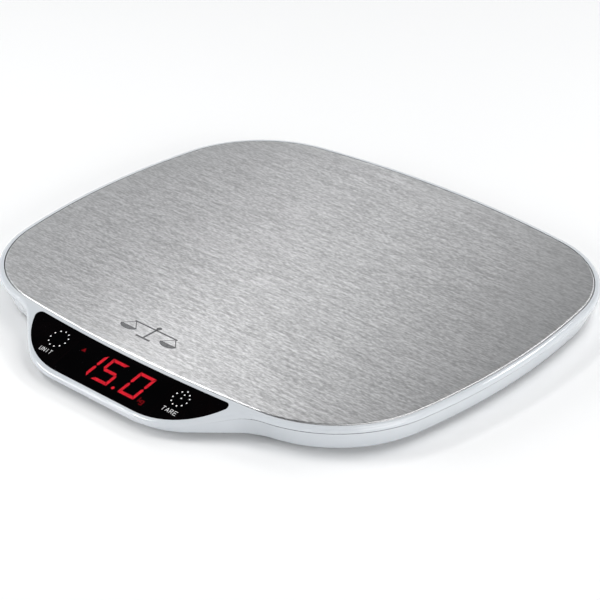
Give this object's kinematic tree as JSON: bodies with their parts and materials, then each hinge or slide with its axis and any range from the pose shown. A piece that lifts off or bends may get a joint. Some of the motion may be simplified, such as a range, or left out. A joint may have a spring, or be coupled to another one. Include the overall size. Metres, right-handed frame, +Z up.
{
  "type": "kitchen scale",
  "caption": "Slim kitchen scale with a brushed steel platform, a white body and a sloping black touch display pod, on load-cell feet, with a hinged battery door.",
  "frame": {"origin": "bottom centre of the whole scale, on the worktop plane under the foot pads", "axes": "+Z up, -Y towards the display and the user, +X to the user's right"},
  "size_m": [0.266, 0.2504, 0.015],
  "materials": {
    "brushed_platform": "brushed along X, satin",
    "white_shell": "gloss",
    "black_lens": "gloss, smoked",
    "tape": "matte foam tape",
    "black_tape": "matte black tape",
    "reflector": "matte, dark faced reflector",
    "segment_lit": "lit red diffuser",
    "segment_off": "matte diffuser, unlit",
    "tin": "tinned",
    "board": "solder mask",
    "chip": "matte moulded package",
    "nylon": "natural nylon",
    "foam": "conductive foam",
    "lead": "insulated lead",
    "cell_steel": "stamped, nickel plated",
    "gauge": "polyimide foil under clear epoxy",
    "carrier": "matte",
    "foot": "matte",
    "rubber_pad": "soft rubber",
    "zinc": "zinc plated",
    "coin": "bright stainless",
    "contact": "nickel-brass spring strip"
  },
  "bodies": {
    "scale_body": {"steel_platform": "brushed_platform", "platform_tape": "tape", "top_shell": "white_shell", "bottom_shell": "white_shell", "shell_screws": "zinc", "display_window": "black_lens", "window_tape": "black_tape", "led_lit_segments": "segment_lit", "led_unlit_segments": "segment_off", "led_unit_marks": "segment_lit", "led_housing": "reflector", "led_pins": "tin", "main_pcb": "board", "pcb_screws": "zinc", "pcb_chips": "chip", "pcb_connectors": "nylon", "touch_pads": "foam", "battery_leads": "lead", "coin_cell_left": "coin", "coin_cell_right": "coin", "battery_top_contacts": "contact", "battery_side_contacts": "contact", "cell_screws": "zinc", "load_cell_front_left": "cell_steel", "strain_gauge_front_left": "gauge", "cell_carrier_front_left": "carrier", "harness_front_left": "lead", "load_cell_front_right": "cell_steel", "strain_gauge_front_right": "gauge", "cell_carrier_front_right": "carrier", "harness_front_right": "lead", "load_cell_rear_left": "cell_steel", "strain_gauge_rear_left": "gauge", "cell_carrier_rear_left": "carrier", "harness_rear_left": "lead", "load_cell_rear_right": "cell_steel", "strain_gauge_rear_right": "gauge", "cell_carrier_rear_right": "carrier", "harness_rear_right": "lead"},
    "foot_front_left": {"foot_plunger_front_left": "foot", "foot_pad_front_left": "rubber_pad"},
    "foot_front_right": {"foot_plunger_front_right": "foot", "foot_pad_front_right": "rubber_pad"},
    "foot_rear_left": {"foot_plunger_rear_left": "foot", "foot_pad_rear_left": "rubber_pad"},
    "foot_rear_right": {"foot_plunger_rear_right": "foot", "foot_pad_rear_right": "rubber_pad"},
    "battery_door": {"battery_door": "white_shell"}
  },
  "joints": [
    {"name": "foot_play_front_left", "type": "slide", "parent": "scale_body", "child": "foot_front_left", "axis": [0, 0, 1], "range_m": [-0.0004, 0]},
    {"name": "foot_play_front_right", "type": "slide", "parent": "scale_body", "child": "foot_front_right", "axis": [0, 0, 1], "range_m": [-0.0004, 0]},
    {"name": "foot_play_rear_left", "type": "slide", "parent": "scale_body", "child": "foot_rear_left", "axis": [0, 0, 1], "range_m": [-0.0004, 0]},
    {"name": "foot_play_rear_right", "type": "slide", "parent": "scale_body", "child": "foot_rear_right", "axis": [0, 0, 1], "range_m": [-0.0004, 0]},
    {"name": "battery_door_hinge", "type": "hinge", "parent": "scale_body", "child": "battery_door", "pos_m": [0, 0.0658, 0.0036], "axis": [1, 0, 0], "range_deg": [0, 90]}
  ]
}
